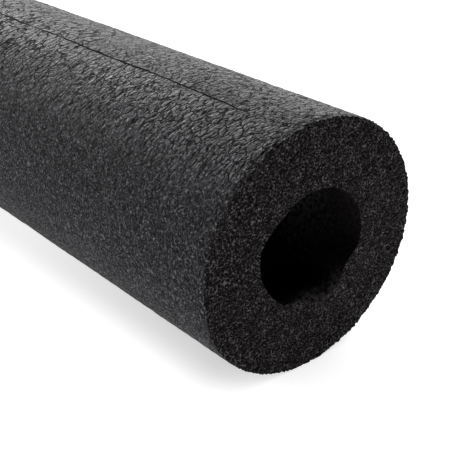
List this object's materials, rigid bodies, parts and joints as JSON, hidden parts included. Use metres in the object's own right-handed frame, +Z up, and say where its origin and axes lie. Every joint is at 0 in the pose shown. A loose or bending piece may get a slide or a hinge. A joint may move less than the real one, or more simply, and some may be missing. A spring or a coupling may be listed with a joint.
{
  "type": "pipe insulation lagging",
  "caption": "Straight black foam pipe lagging with a round bore, square-cut ends and a hairline score along its top.",
  "frame": {"origin": "on the floor, under the middle of the tube's length", "axes": "+X along the tube towards the end shown in the picture, +Z up"},
  "size_m": [1, 0.05, 0.05],
  "materials": {
    "foam": "closed-cell polyethylene foam with a crinkled skin"
  },
  "bodies": {
    "root": {"foam_tube": "foam"}
  },
  "joints": []
}
